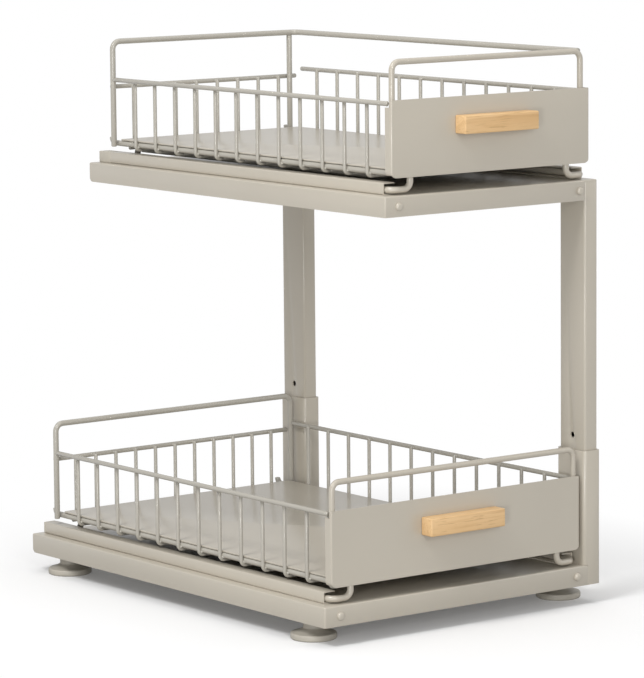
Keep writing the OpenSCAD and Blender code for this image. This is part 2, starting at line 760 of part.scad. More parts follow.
module upper_front_panel() color(paint) front_panel(upper);
module upper_handle() color(wood) handle(upper);
module upper_handle_screws() color(steel) handle_screws(upper);
module upper_floor_plate() color(paint) floor_plate(upper);
module upper_floor_wires() color(paint) floor_wires(upper);
module upper_left_wires() color(paint) in_basket(upper) side_grille(upper);
module upper_right_wires() color(paint) in_basket(upper) mirrored(upper) side_grille(upper);
module upper_back_wires() color(paint) back_grille(upper);
module upper_left_runner() color(paint) in_basket(upper) runner(upper);
module upper_right_runner() color(paint) in_basket(upper) mirrored(upper) runner(upper);
module upper_back_guard() color(paint) cornered_guard(upper);
module upper_back_upright() color(paint) in_basket(upper) mirrored(upper) back_upright(upper);
module upper_front_guard() color(paint)
    hoop(upper, front_leg_inset, right_guard_inset, front_leg_inset, floor_top + seat_gap);

base_deck();
lower_left_channel();
lower_right_channel();
front_sleeve();
back_sleeve();
lower_rear_stops();
lower_flange_screws();
lower_flange_nuts();
foot_nuts();
lock_screws();
front_left_foot();
front_right_foot();
back_left_foot();
back_right_foot();
front_left_stud();
front_right_stud();
back_left_stud();
back_right_stud();
upper_deck();
front_post();
back_post();
upper_left_channel();
upper_right_channel();
upper_rear_stops();
upper_flange_screws();
upper_flange_nuts();
lower_front_panel();
lower_handle();
lower_handle_screws();
lower_floor_plate();
lower_floor_wires();
lower_left_wires();
lower_right_wires();
lower_back_wires();
lower_left_runner();
lower_right_runner();
lower_back_guard();
lower_front_guard();
upper_front_panel();
upper_handle();
upper_handle_screws();
upper_floor_plate();
upper_floor_wires();
upper_left_wires();
upper_right_wires();
upper_back_wires();
upper_left_runner();
upper_right_runner();
upper_back_guard();
upper_back_upright();
upper_front_guard();
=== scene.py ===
import json
import math
import bpy
from mathutils import Euler, Matrix, Vector


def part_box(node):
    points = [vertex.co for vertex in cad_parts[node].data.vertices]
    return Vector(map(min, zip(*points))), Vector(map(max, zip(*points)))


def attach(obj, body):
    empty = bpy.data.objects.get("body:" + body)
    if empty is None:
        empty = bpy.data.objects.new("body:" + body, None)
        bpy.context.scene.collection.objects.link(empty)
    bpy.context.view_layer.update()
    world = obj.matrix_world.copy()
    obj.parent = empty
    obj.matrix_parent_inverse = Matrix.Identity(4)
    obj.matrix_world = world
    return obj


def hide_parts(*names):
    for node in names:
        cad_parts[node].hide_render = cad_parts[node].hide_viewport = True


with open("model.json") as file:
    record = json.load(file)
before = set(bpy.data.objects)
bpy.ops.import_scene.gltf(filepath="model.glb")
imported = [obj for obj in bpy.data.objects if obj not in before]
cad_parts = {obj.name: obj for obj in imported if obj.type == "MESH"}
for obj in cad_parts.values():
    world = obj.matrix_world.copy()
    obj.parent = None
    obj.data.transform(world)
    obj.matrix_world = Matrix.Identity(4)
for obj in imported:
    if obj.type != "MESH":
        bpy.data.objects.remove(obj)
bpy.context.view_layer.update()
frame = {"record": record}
mm = 0.001
near = 0.1 * mm       # closer to a plane than this counts as in it
past = 1 * mm         # how far a cutting tool reaches past what it cuts
right, left, back, front, up, down = (Vector(v) for v in (
    (1, 0, 0), (-1, 0, 0), (0, 1, 0), (0, -1, 0), (0, 0, 1), (0, 0, -1)))
bodyOf = {node: body for body, nodes in frame["record"]["behaviour"]["bodies"].items() for node in nodes}


# ---- small helpers for modelling ----

def only(piece):
    bpy.ops.object.select_all(action="DESELECT")
    piece.select_set(True)
    bpy.context.view_layer.objects.active = piece


def settle(name):
    # names the new primitive and moves its place into its mesh
    piece = bpy.context.active_object
    piece.name = piece.data.name = name
    bpy.ops.object.transform_apply(location=True, rotation=True, scale=True)
    return piece


def block(name, low, high):
    low, high = Vector(low), Vector(high)
    bpy.ops.mesh.primitive_cube_add(size=1, location=(low + high) / 2, scale=high - low)
    return settle(name)


def rod(name, start, end, diameter, sides=32):
    start, end = Vector(start), Vector(end)
    turn = (end - start).to_track_quat("Z", "Y").to_euler()
    bpy.ops.mesh.primitive_cylinder_add(
        vertices=sides, radius=diameter / 2, depth=(end - start).length,
        location=(start + end) / 2, rotation=turn)
    return settle(name)


def bead(at, size):
    # a blob of weld, as wide, deep and high as size says
    bpy.ops.mesh.primitive_uv_sphere_add(segments=10, ring_count=6, radius=0.5, location=at, scale=size)
    piece = settle("weldBead")
    bpy.ops.object.shade_smooth()
    return piece


def pick(piece, kind, wanted):
    # goes into edit mode with the edges or faces selected that are wanted
    only(piece)
    bpy.ops.object.mode_set(mode="EDIT")
    bpy.ops.mesh.select_mode(type=kind)
    bpy.ops.mesh.select_all(action="DESELECT")
    bpy.ops.object.mode_set(mode="OBJECT")
    mesh = piece.data
    if kind == "FACE":
        for face in mesh.polygons:
            face.select = wanted(face.center, face.normal)
    if kind == "EDGE":
        for edge in mesh.edges:
            ends = [mesh.vertices[point].co for point in edge.vertices]
            edge.select = wanted((ends[0] + ends[1]) / 2, (ends[1] - ends[0]).normalized())
    bpy.ops.object.mode_set(mode="EDIT")


def leave():
    bpy.ops.object.mode_set(mode="OBJECT")


def removeFaces(piece, wanted):
    pick(piece, "FACE", wanted)
    bpy.ops.mesh.delete(type="FACE")
    leave()


def roundEdges(piece, radius, segments, wanted):
    pick(piece, "EDGE", wanted)
    bpy.ops.mesh.bevel(offset=radius, segments=segments, affect="EDGES")
    leave()


def modify(piece, kind, **settings):
    step = piece.modifiers.new(kind, kind)
    for name, value in settings.items():
        setattr(step, name, value)
    only(piece)
    bpy.ops.object.modifier_apply(modifier=step.name)


def thicken(piece, sheet):
    modify(piece, "SOLIDIFY", thickness=sheet, offset=-1, use_even_offset=True)


def soften(piece, radius, segments=2, angle=35):
    # breaks the sharp edges and smooths the shading over the small angles
    if radius:
        modify(piece, "BEVEL", width=radius, segments=segments, limit_method="ANGLE",
               angle_limit=math.radians(angle), use_clamp_overlap=True)
    only(piece)
    bpy.ops.object.shade_smooth_by_angle(angle=math.radians(angle))


def carve(piece, tool, operation="DIFFERENCE"):
    modify(piece, "BOOLEAN", operation=operation, object=tool, solver="EXACT")
    bpy.data.objects.remove(tool)


def joined(name, pieces):
    bpy.ops.object.select_all(action="DESELECT")
    for piece in pieces:
        piece.select_set(True)
    bpy.context.view_layer.objects.active = pieces[0]
    if len(pieces) > 1:
        bpy.ops.object.join()
    pieces[0].name = pieces[0].data.name = name
    return pieces[0]


def repeat(piece, count, step):
    modify(piece, "ARRAY", count=count, use_relative_offset=False, use_constant_offset=True,
           constant_offset_displace=step)
    return piece


def copyTo(model, place, turn=(0, 0, 0)):
    piece = model.copy()
    piece.data = model.data.copy()
    bpy.context.scene.collection.objects.link(piece)
    piece.location = place
    piece.rotation_euler = turn
    only(piece)
    bpy.ops.object.transform_apply(location=True, rotation=True, scale=True)
    return piece


def putAway(*models):
    for model in models:
        bpy.data.objects.remove(model)


bendSettings = {"steps": 7, "endRound": 0.16}     # faces along a bend, rounding as a share of the diameter


def bentWire(name, start, heading, moves, diameter, sides=16):
    # a wire pushed through a bender: a number is a straight run, a pair is a quarter turn
    # to a new heading at a radius
    place, heading = Vector(start), Vector(heading)
    bpy.ops.mesh.primitive_circle_add(
        vertices=sides, radius=diameter / 2, fill_type="NGON", location=place,
        rotation=heading.to_track_quat("Z", "Y").to_euler())
    piece = settle(name)
    bpy.ops.object.mode_set(mode="EDIT")
    bpy.ops.mesh.select_mode(type="FACE")
    bpy.ops.mesh.select_all(action="SELECT")
    for move in moves:
        if isinstance(move, tuple):
            towards, radius = move
            middle = place + towards * radius
            bpy.ops.mesh.spin(steps=bendSettings["steps"], angle=-math.pi / 2, center=middle,
                              axis=heading.cross(towards))
            place, heading = middle + heading * radius, towards
        else:
            bpy.ops.mesh.extrude_region_move(TRANSFORM_OT_translate={"value": heading * move})
            place = place + heading * move
    leave()
    mesh = piece.data
    caps = [face.index for face in mesh.polygons if len(face.vertices) == sides]
    bpy.ops.object.mode_set(mode="EDIT")
    bpy.ops.mesh.select_all(action="DESELECT")
    leave()
    for index in caps:
        mesh.polygons[index].select = True
    bpy.ops.object.mode_set(mode="EDIT")
    bpy.ops.mesh.bevel(offset=diameter * bendSettings["endRound"], segments=2, affect="EDGES")
    bpy.ops.mesh.select_all(action="SELECT")
    bpy.ops.mesh.normals_make_consistent(inside=False)
    leave()
    bpy.ops.object.shade_smooth_by_angle(angle=math.radians(50))
    return piece


# ---- materials ----

class Signal:
    # an output in a finish, so that shader sums read as plain sums
    def __init__(self, finish, socket):
        self.finish = finish
        self.socket = socket

    def __add__(self, other):
        return self.finish.node("Math", {"operation": "ADD"}, {0: self, 1: other})

    def __sub__(self, other):
        return self.finish.node("Math", {"operation": "SUBTRACT"}, {0: self, 1: other})

    def __mul__(self, other):
        return self.finish.node("Math", {"operation": "MULTIPLY"}, {0: self, 1: other})

    __radd__ = __add__


class Finish:
    def __init__(self, name, **sockets):
        self.material = bpy.data.materials.new(name)
        self.material.use_nodes = True
        self.tree = self.material.node_tree
        self.shader = self.tree.nodes["Principled BSDF"]
        for socket, value in sockets.items():
            self.shader.inputs[socket.replace("_", " ")].default_value = value

    def node(self, kind, settings=None, sockets=None, output=0):
        made = self.tree.nodes.new("ShaderNode" + kind)
        for name, value in (settings or {}).items():
            setattr(made, name, value)
        for name, value in (sockets or {}).items():
            if isinstance(value, Signal):
                self.tree.links.new(value.socket, made.inputs[name])
            else:
                made.inputs[name].default_value = value
        return Signal(self, made.outputs[output])

    def place(self, scale):
        # the piece's own coordinates, stretched
        where = self.node("TexCoord", output="Object")
        return self.node("Mapping", {}, {"Vector": where, "Scale": scale})

    def noise(self, scale, detail=2, roughness=0.5, stretch=(1, 1, 1)):
        return self.node("TexNoise", {}, {
            "Vector": self.place(stretch), "Scale": scale, "Detail": detail, "Roughness": roughness})

    def blend(self, factor, first, second):
        return self.node("Mix", {"data_type": "RGBA"}, {0: factor, 6: first, 7: second}, 2)

    def ramp(self, value, low, high):
        # 0 below low, 1 above high
        return self.node("MapRange", {"clamp": True}, {
            "Value": value, "From Min": low, "From Max": high, "To Min": 0, "To Max": 1})

    def bump(self, height, distance, strength=1):
        normal = self.node("Bump", {}, {"Height": height, "Distance": distance, "Strength": strength})
        self.feed("Normal", normal)

    def feed(self, socket, signal):
        self.tree.links.new(signal.socket, self.shader.inputs[socket])


powderCoat = {
    "colour": (0.500, 0.457, 0.382, 1),
    "cloud": (0.474, 0.434, 0.364, 1),    # broad unevenness
    "speck": (0.548, 0.508, 0.434, 1),    # pale grains in the coat
    "clouds": 9,                          # how many of each lie to a metre, about
    "grains": 2100,
    "peel": 620,
    "peelDepth": 0.00002,
    "roughness": 0.30,
    "gloss": 0.35,                        # a smoother skin on the coat, which lights up the folds
    "glossRoughness": 0.19,
}

shadedWireCoat = {                              # the same paint made darker and greyer for the wires: painted shade; the front guards and the runners keep the plain paint
    **powderCoat,
    "colour": (0.425, 0.402, 0.352, 1),
    "cloud": (0.398, 0.377, 0.330, 1),
    "speck": (0.480, 0.458, 0.408, 1),
    "peel": 900,
    "roughness": 0.24,
    "gloss": 0.1,
}


def makePowderCoat(name, coat):
    finish = Finish(name, Specular_IOR_Level=0.5, Coat_Weight=coat["gloss"],
                    Coat_Roughness=coat["glossRoughness"])
    cloud = finish.noise(coat["clouds"], detail=3)
    grain = finish.noise(coat["grains"], detail=1)
    peel = finish.noise(coat["peel"], detail=2, roughness=0.45)
    clouded = finish.ramp(cloud, low=0.35, high=0.68) * 0.75
    specked = finish.ramp(grain, low=0.55, high=0.80) * 0.18
    colour = finish.blend(clouded, coat["colour"], coat["cloud"])
    finish.feed("Base Color", finish.blend(specked, colour, coat["speck"]))
    finish.feed("Roughness", coat["roughness"] + (cloud - 0.5) * 0.08 + (peel - 0.5) * 0.03)
    finish.bump(peel + grain * 0.1, coat["peelDepth"], strength=0.12)
    return finish.material


lightOak = {
    "early": (0.730, 0.478, 0.236, 1),
    "late": (0.565, 0.330, 0.138, 1),
    "pale": (0.790, 0.550, 0.302, 1),
    "pore": (0.370, 0.208, 0.085, 1),
    "heart": (0, 0.36, -0.12),            # where the middle of the tree was
    "ringScale": 150 / 6.3,               # about 150 growth rings to a metre
    "along": 0.12,                        # how much slower the rings change along the grain
    "drifts": 34,
    "streaks": 520,
    "pores": 1150,
    "poreDepth": 0.00009,
    "roughness": 0.52,
}


def makeWood(name, oak):
    finish = Finish(name, Specular_IOR_Level=0.35)
    where = finish.node("Mapping", {}, {
        "Vector": finish.node("TexCoord", output="Object"),
        "Location": oak["heart"], "Scale": (oak["along"], 1, 1)})
    rings = finish.node("TexWave", {"wave_type": "RINGS", "rings_direction": "X", "wave_profile": "SAW"}, {
        "Vector": where, "Scale": oak["ringScale"], "Distortion": 1.6, "Detail": 3, "Detail Scale": 3})
    drift = finish.noise(oak["drifts"], detail=3, roughness=0.6, stretch=(0.25, 1, 1))
    streak = finish.noise(oak["streaks"], detail=3, roughness=0.6, stretch=(0.05, 1, 1))
    pore = finish.noise(oak["pores"], detail=2, roughness=0.5, stretch=(0.045, 1, 1))
    ringed = finish.ramp(rings + (drift - 0.5) * 0.5, low=0.35, high=0.95) * 0.55
    faded = finish.ramp(drift, low=0.42, high=0.66) * 0.6
    streaked = finish.ramp(streak, low=0.50, high=0.72) * 0.4
    pored = finish.ramp(pore, low=0.60, high=0.70)
    colour = finish.blend(ringed, oak["early"], oak["late"])
    colour = finish.blend(faded, colour, oak["pale"])
    colour = finish.blend(streaked, colour, oak["late"])
    finish.feed("Base Color", finish.blend(pored * 0.5, colour, oak["pore"]))
    finish.feed("Roughness", oak["roughness"] + (streak - 0.5) * 0.2 + pored * 0.15)
    finish.bump(streak * 0.5 - pored, oak["poreDepth"], strength=0.7)
    return finish.material


zincPlate = {
    "colour": (0.63, 0.64, 0.65, 1),
    "dull": (0.40, 0.41, 0.43, 1),
    "crystals": 700, "stains": 160, "scratches": 900,
    "scratchDepth": 0.00003,
    "roughness": 0.30,
}


def makeZinc(name, zinc):
    finish = Finish(name, Metallic=1.0)
    crystal = finish.node("TexVoronoi", {}, {"Vector": finish.place((1, 1, 1)), "Scale": zinc["crystals"]})
    stain = finish.noise(zinc["stains"], detail=3, roughness=0.6)
    scratch = finish.noise(zinc["scratches"], detail=2, roughness=0.5, stretch=(1, 1, 0.08))
    stained = finish.ramp(stain, low=0.42, high=0.70) * 0.6
    finish.feed("Base Color", finish.blend(stained, zinc["colour"], zinc["dull"]))
    finish.feed("Roughness", zinc["roughness"] + crystal * 0.10 + (scratch - 0.5) * 0.25)
    finish.bump(scratch + crystal * 0.3, zinc["scratchDepth"], strength=0.5)
    return finish.material


mouldedPlastic = {
    "colour": (0.470, 0.437, 0.372, 1),
    "shade": (0.418, 0.388, 0.330, 1),
    "clouds": 60, "sparks": 1500,
    "sparkDepth": 0.00004,
    "roughness": 0.46,
}


def makePlastic(name, plastic):
    finish = Finish(name, Specular_IOR_Level=0.5)
    cloud = finish.noise(plastic["clouds"], detail=2)
    spark = finish.noise(plastic["sparks"], detail=2, roughness=0.6)
    shaded = finish.ramp(cloud, low=0.4, high=0.65)
    finish.feed("Base Color", finish.blend(shaded, plastic["colour"], plastic["shade"]))
    finish.feed("Roughness", plastic["roughness"] + (spark - 0.5) * 0.18)
    finish.bump(spark, plastic["sparkDepth"], strength=0.45)
    return finish.material


finishes = {
    "paint": makePowderCoat("powderCoat", powderCoat),
    # the wires' finish is the paint darkened as painted shade
    "wire": makePowderCoat("shadedWireCoat", shadedWireCoat),
    "wood": makeWood("lightOak", lightOak),
    "zinc": makeZinc("zincPlate", zincPlate),
    "plastic": makePlastic("mouldedPlastic", mouldedPlastic),
}
print("finishes made")


def install(piece, finish, node):
    # gives a finished piece its material, and lets it stand for its CAD node
    piece.data.materials.clear()
    piece.data.materials.append(finishes[finish])
    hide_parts(node)
    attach(piece, bodyOf[node])


# ---- decks: a folded sheet with four edges turned down ----

deckSettings = {
    "sheet": 1.2 * mm,
    "fold": 1.5 * mm,
    "foldSteps": 5,
    "edge": 0.3 * mm,
    "backGap": 5 * mm,          # how far the back edge ends above the side edges
    "lowCorner": 4 * mm,
    "seam": 0.03 * mm,          # what stays open where a flange is welded to a tube
    "under": 0.02 * mm,         # how far the filling of such a seam lies under the paint around it
    "weldDepth": 1 * mm,
    "weldHalf": 0.5 * mm,       # half the width of that filling
    "weldFoot": 0.3 * mm,       # where it starts above the flange's lower edge
    "topWeld": (0.6 * mm, 0.1 * mm),        # where the filling under the top sheet starts and ends
}
tubeSettings = {
    "sleeveWall": 1.7 * mm, "sleeveCorner": 3.6 * mm, "sleeveGap": 0.3 * mm,
    "postWall": 1.5 * mm, "postCorner": 2.0 * mm, "cornerSteps": 6, "edge": 0.25 * mm,
    "hole": 5 * mm, "holes": (109, 84, 59),     # heights above the lower deck's top, in mm
}


def cornerCutter(corner, axis, inward, radius, length):
    # a square bar with a hollow quarter, which rounds off an edge that runs along the axis
    along = Vector(axis) * length
    middle = Vector(corner) + Vector(inward) * radius
    outside = Vector(corner) - Vector(inward) * radius
    low = Vector([min(a, b) for a, b in zip(middle - along, outside - along)])
    high = Vector([max(a, b) for a, b in zip(middle + along, outside + along)])
    bar = block("cornerBar", low, high)
    carve(bar, rod("cornerRod", middle - along * 1.2, middle + along * 1.2, 2 * radius + 0.02 * mm, 64))
    return bar


def makeDeck(name, node, cuts, welds):
    # welds are narrow fillings of the seams where a flange meets a tube
    low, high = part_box(node)
    sheet = deckSettings["sheet"]
    deck = block(name, low, high)
    removeFaces(deck, lambda at, normal: normal.z < -0.9)
    roundEdges(deck, deckSettings["fold"], deckSettings["foldSteps"],
               lambda at, along: at.z > high.z - near or (abs(along.z) > 0.9 and at.y < low.y + near))
    thicken(deck, sheet)
    carve(deck, block("backCut", (low.x + sheet, high.y - 2 * sheet, low.z - past),
                      (high.x - sheet, high.y + past, low.z + deckSettings["backGap"])))
    for x in (low.x, high.x):
        carve(deck, cornerCutter((x, high.y, low.z), right, front + up, deckSettings["lowCorner"], 3 * past))
    for cut in cuts:
        carve(deck, cut)
    soften(deck, deckSettings["edge"])
    install(joined(name, [deck] + welds), "paint", node)


def makeLowerDeck():
    # its right corners are cut out for the outer walls of the sleeves, which run down past it
    low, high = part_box("base_deck")
    corner, seam, under = tubeSettings["sleeveCorner"], deckSettings["seam"], deckSettings["under"]
    depth, half, foot = (deckSettings[key] for key in ("weldDepth", "weldHalf", "weldFoot"))
    room = tubeSettings["sleeveWall"] + tubeSettings["sleeveGap"]
    bendStart = high.z - deckSettings["fold"]
    cuts, welds = [], []
    for node, edge, inward in (("front_sleeve", low.y, 1), ("back_sleeve", high.y, -1)):
        tubeLow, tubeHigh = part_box(node)
        flangeEnd = tubeLow.x + corner
        sideEnd = (tubeHigh.y if inward > 0 else tubeLow.y) - inward * corner
        outside = edge - inward * 2 * past
        ends = sorted((outside, edge + inward * room))
        cuts.append(block("flangeCut", (flangeEnd - seam, ends[0], low.z - past),
                          (high.x + past, ends[1], high.z + past)))
        ends = sorted((outside - inward * past, sideEnd + inward * seam))
        cuts.append(block("sideCut", (high.x - room, ends[0], low.z - 2 * past),
                          (high.x + 2 * past, ends[1], high.z + 2 * past)))
        ends = sorted((edge + inward * under, edge + inward * depth))
        welds.append(block("cornerWeld", (flangeEnd - half, ends[0], low.z + foot),
                           (flangeEnd + half, ends[1], bendStart)))
        welds.append(block("cornerWeld", (high.x - depth, sideEnd - half, low.z + foot),
                           (high.x - under, sideEnd + half, bendStart)))
    makeDeck("lowerDeck", "base_deck", cuts, welds)


def makeUpperDeck():
    # its flanges end at the posts, which stand flush with them under the top sheet
    low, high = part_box("upper_deck")
    corner, seam, under = tubeSettings["postCorner"], deckSettings["seam"], deckSettings["under"]
    depth, ceiling = deckSettings["weldDepth"], high.z - deckSettings["sheet"]
    bottom, top = (ceiling - drop for drop in deckSettings["topWeld"])
    cuts, welds = [], []
    for node, edge, inward in (("front_post", low.y, 1), ("back_post", high.y, -1)):
        tubeLow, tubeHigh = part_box(node)
        inside = (tubeHigh.y if inward > 0 else tubeLow.y) + inward * seam
        ends = sorted((edge - inward * past, inside))
        cuts.append(block("cornerCut", (tubeLow.x - seam, ends[0], low.z - past),
                          (high.x + past, ends[1], ceiling)))
        ends = sorted((edge + inward * under, edge + inward * depth))
        welds.append(block("topWeld", (tubeLow.x + corner, ends[0], bottom),
                           (high.x - corner, ends[1], top)))
        welds.append(block("topWeld", (high.x - depth, tubeLow.y + corner, bottom),
                           (high.x - under, tubeHigh.y - corner, top)))
    makeDeck("upperDeck", "upper_deck", cuts, welds)


makeLowerDeck()
makeUpperDeck()
print("decks folded")


# ---- channels and their stops ----

channelSettings = {"sheet": 1.0 * mm, "fold": 1.3 * mm, "edge": 0.2 * mm}


def makeChannel(name, node, opening):
    low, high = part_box(node)
    channel = block(name, low, high)
    removeFaces(channel, lambda at, normal: abs(normal.y) > 0.9 or normal.dot(opening) > 0.9)
    web = low.x if opening.x > 0 else high.x
    roundEdges(channel, channelSettings["fold"], 4,
               lambda at, along: abs(along.y) > 0.9 and abs(at.x - web) < near)
    thicken(channel, channelSettings["sheet"])
    soften(channel, channelSettings["edge"])
    install(channel, "paint", node)


stopSettings = {"gap": 0.3 * mm, "headRound": 0.8 * mm, "tongueRound": 0.6 * mm, "overlap": 1 * mm}


def makeStops(name, node, tier):
    low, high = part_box(node)
    pieces = []
    for side, opening in (("left", right), ("right", left)):
        mouthLow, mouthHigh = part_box(f"{tier}_{side}_channel")
        wall, gap = channelSettings["sheet"], stopSettings["gap"]
        head = block("stopHead", (mouthLow.x, mouthHigh.y + gap, mouthLow.z),
                     (mouthHigh.x, high.y, mouthHigh.z))
        soften(head, stopSettings["headRound"], 4)
        reach = [mouthLow.x, mouthHigh.x]
        reach[0 if opening.x > 0 else 1] += (wall + gap) * opening.x
        tongue = block("stopTongue", (reach[0], low.y, mouthLow.z + wall + gap),
                       (reach[1], mouthHigh.y + stopSettings["overlap"], mouthHigh.z - wall - gap))
        soften(tongue, stopSettings["tongueRound"], 3)
        pieces += [head, tongue]
    install(joined(name, pieces), "plastic", node)


for tier in ("lower", "upper"):
    makeChannel(tier + "LeftChannel", tier + "_left_channel", right)
    makeChannel(tier + "RightChannel", tier + "_right_channel", left)
    makeStops(tier + "RearStops", tier + "_rear_stops", tier)
print("channels folded")


# ---- sleeves and posts ----

def makeTube(name, low, high, corner, wall):
    tube = block(name, low, high)
    removeFaces(tube, lambda at, normal: abs(normal.z) > 0.9)
    roundEdges(tube, corner, tubeSettings["cornerSteps"], lambda at, along: abs(along.z) > 0.9)
    thicken(tube, wall)
    return tube


def makeSleeve(name, node, inward):
    # its two outer walls run down past the deck
    low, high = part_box(node)
    wall, corner = tubeSettings["sleeveWall"], tubeSettings["sleeveCorner"]
    sleeve = makeTube(name, low, high, corner, wall)
    under, floor = low.z - past, deckTop["lower"]
    outer, inner = (low.y, high.y) if inward > 0 else (high.y, low.y)
    carve(sleeve, block("cornerCut", (low.x - past, low.y - past, under),
                        (low.x + corner, high.y + past, floor)))
    ends = sorted((inner - inward * corner, inner + inward * 2 * past))
    carve(sleeve, block("sideCut", (low.x - 1.5 * past, ends[0], under), (high.x + past, ends[1], floor)))
    ends = sorted((outer + inward * wall, inner + inward * past))
    carve(sleeve, block("innerCut", (low.x - 2 * past, ends[0], under), (high.x - wall, ends[1], floor)))
    soften(sleeve, tubeSettings["edge"])
    install(sleeve, "paint", node)


def makePost(name, node):
    low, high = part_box(node)
    ceiling = deckTop["upper"] - deckSettings["sheet"] - deckSettings["seam"]
    post = makeTube(name, low, (high.x, high.y, ceiling),
                    tubeSettings["postCorner"], tubeSettings["postWall"])
    drill = right * 5 * past
    for height in tubeSettings["holes"]:
        middle = Vector((low.x, (low.y + high.y) / 2, deckTop["lower"] + height * mm))
        carve(post, rod("postDrill", middle - drill, middle + drill, tubeSettings["hole"], 40))
    soften(post, tubeSettings["edge"])
    install(post, "paint", node)


deckTop = {"lower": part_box("base_deck")[1].z, "upper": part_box("upper_deck")[1].z}
makeSleeve("frontSleeve", "front_sleeve", 1)
makeSleeve("backSleeve", "back_sleeve", -1)
for end in ("front", "back"):
    makePost(end + "Post", end + "_post")
print("posts and sleeves drawn")


# ---- screws, nuts and studs, each modelled once along Z and copied ----

threadSettings = {"depth": 0.45 * mm, "steps": 24, "sink": 1.15, "tip": 0.3 * mm}


def threaded(name, low, high, diameter, pitch):
    # a core rod with a ridge wound round it
    depth = threadSettings["depth"]
    core = rod(name, (0, 0, low), (0, 0, high), diameter - 2 * depth, 24)
    soften(core, threadSettings["tip"])
    turns = int((high - low - 2 * pitch) / pitch)
    middle = diameter / 2 - depth * threadSettings["sink"]
    bpy.ops.mesh.primitive_circle_add(
        vertices=3, radius=depth, fill_type="NOTHING",
        location=(middle, 0, low + pitch), rotation=(math.pi / 2, math.pi / 2, 0))
    ridge = settle("threadRidge")
    modify(ridge, "SCREW", angle=math.tau, screw_offset=pitch, iterations=turns,
           steps=threadSettings["steps"], render_steps=threadSettings["steps"])
    only(ridge)
    bpy.ops.object.mode_set(mode="EDIT")
    bpy.ops.mesh.select_all(action="SELECT")
    bpy.ops.mesh.fill_holes(sides=3)
    bpy.ops.mesh.normals_make_consistent(inside=False)
    leave()
    return joined(name, [core, ridge])


screwEdge = 0.12 * mm


def screwHead(name, diameter, height, cross):
    # a round head that stands on z = 0
    head = rod(name, (0, 0, 0), (0, 0, height), diameter, 40)
    roundEdges(head, height * 0.82, 6, lambda at, along: at.z > height * 0.99)
    if cross:
        for turn in (0, math.pi / 2):
            arm = block("driverArm", (-cross / 2, -cross / 9, height * 0.35),
                        (cross / 2, cross / 9, height * 1.5))
            arm.rotation_euler.z = turn
            only(arm)
            bpy.ops.object.transform_apply(rotation=True)
            carve(head, arm)
    soften(head, screwEdge, 2, 40)
    return head


def screwModel(name, diameter, length, headDiameter, headHeight, cross, pitch):
    shank = threaded(name + "Shank", -length, near, diameter, pitch)
    return joined(name, [screwHead(name + "Head", headDiameter, headHeight, cross), shank])


def nutModel(name, width, height, bore):
    corners = 2 * width / math.sqrt(3)
    bpy.ops.mesh.primitive_cylinder_add(vertices=6, radius=corners / 2, depth=height,
                                        rotation=(0, 0, math.pi / 6))
    nut = settle(name)
    end = height / 2 + 0.01 * mm
    turned = rod("nutTurning", (0, 0, -end), (0, 0, end), corners + near, 64)
    roundEdges(turned, width * 0.09, 1, lambda at, along: abs(abs(at.z) - height / 2) < near)
    carve(nut, turned, "INTERSECT")
    carve(nut, rod("nutDrill", (0, 0, -height), (0, 0, height), bore, 32))
    soften(nut, screwEdge)
    return nut


fastenerSettings = {
    # diameter, length, head's diameter and height, width of the cross recess or 0, pitch
    "flangeScrew": (4.0 * mm, 5.7 * mm, 7.0 * mm, 2.4 * mm, 0, 0.7 * mm),
    "lockScrew": (5.0 * mm, 1.7 * mm, 9.0 * mm, 2.2 * mm, 5.0 * mm, 0.6 * mm),
    "handleScrew": (4.0 * mm, 10.2 * mm, 8.0 * mm, 2.0 * mm, 4.2 * mm, 0.8 * mm),
    # width, height, bore
    "flangeNut": (7.0 * mm, 3.2 * mm, 4.0 * mm),
    "footNut": (13.0 * mm, 10.0 * mm, 8.2 * mm),
}
toFront, toRight, toBack = (math.pi / 2, 0, 0), (0, math.pi / 2, 0), (-math.pi / 2, 0, 0)


def putRound(name, finish, node, model, places, turn):
    install(joined(name, [copyTo(model, place, turn) for place in places]), finish, node)


flangeScrew = screwModel("flangeScrew", *fastenerSettings["flangeScrew"])
flangeNut = nutModel("flangeNut", *fastenerSettings["flangeNut"])
for tier in ("lower", "upper"):
    low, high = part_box(tier + "_flange_screws")
    radius = fastenerSettings["flangeScrew"][2] / 2
    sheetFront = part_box("base_deck" if tier == "lower" else "upper_deck")[0].y
    middles = [Vector((x, sheetFront, (low.z + high.z) / 2)) for x in (low.x + radius, high.x - radius)]
    putRound(tier + "FlangeScrews", "paint", tier + "_flange_screws", flangeScrew, middles, toFront)
    nutLow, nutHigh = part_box(tier + "_flange_nuts")
    middles = [Vector((m.x, (nutLow.y + nutHigh.y) / 2, m.z)) for m in middles]
    putRound(tier + "FlangeNuts", "zinc", tier + "_flange_nuts", flangeNut, middles, toFront)

lockScrew = screwModel("lockScrew", *fastenerSettings["lockScrew"])
low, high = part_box("lock_screws")
radius = fastenerSettings["lockScrew"][2] / 2
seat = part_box("front_sleeve")[1].x
middles = [Vector((seat, y, (low.z + high.z) / 2)) for y in (low.y + radius, high.y - radius)]
putRound("lockScrews", "zinc", "lock_screws", lockScrew, middles, toRight)

handleScrew = screwModel("handleScrew", *fastenerSettings["handleScrew"])
for tier in ("lower", "upper"):
    low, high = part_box(tier + "_handle_screws")
    radius, height = fastenerSettings["handleScrew"][2] / 2, fastenerSettings["handleScrew"][3]
    middles = [Vector((x, high.y - height, (low.z + high.z) / 2)) for x in (low.x + radius, high.x - radius)]
    putRound(tier + "HandleScrews", "zinc", tier + "_handle_screws", handleScrew, middles, toBack)
putAway(flangeScrew, flangeNut, lockScrew, handleScrew)
print("screws and nuts placed")


# ---- levelling feet: a dished disc with a collar, a threaded stud and a nut ----

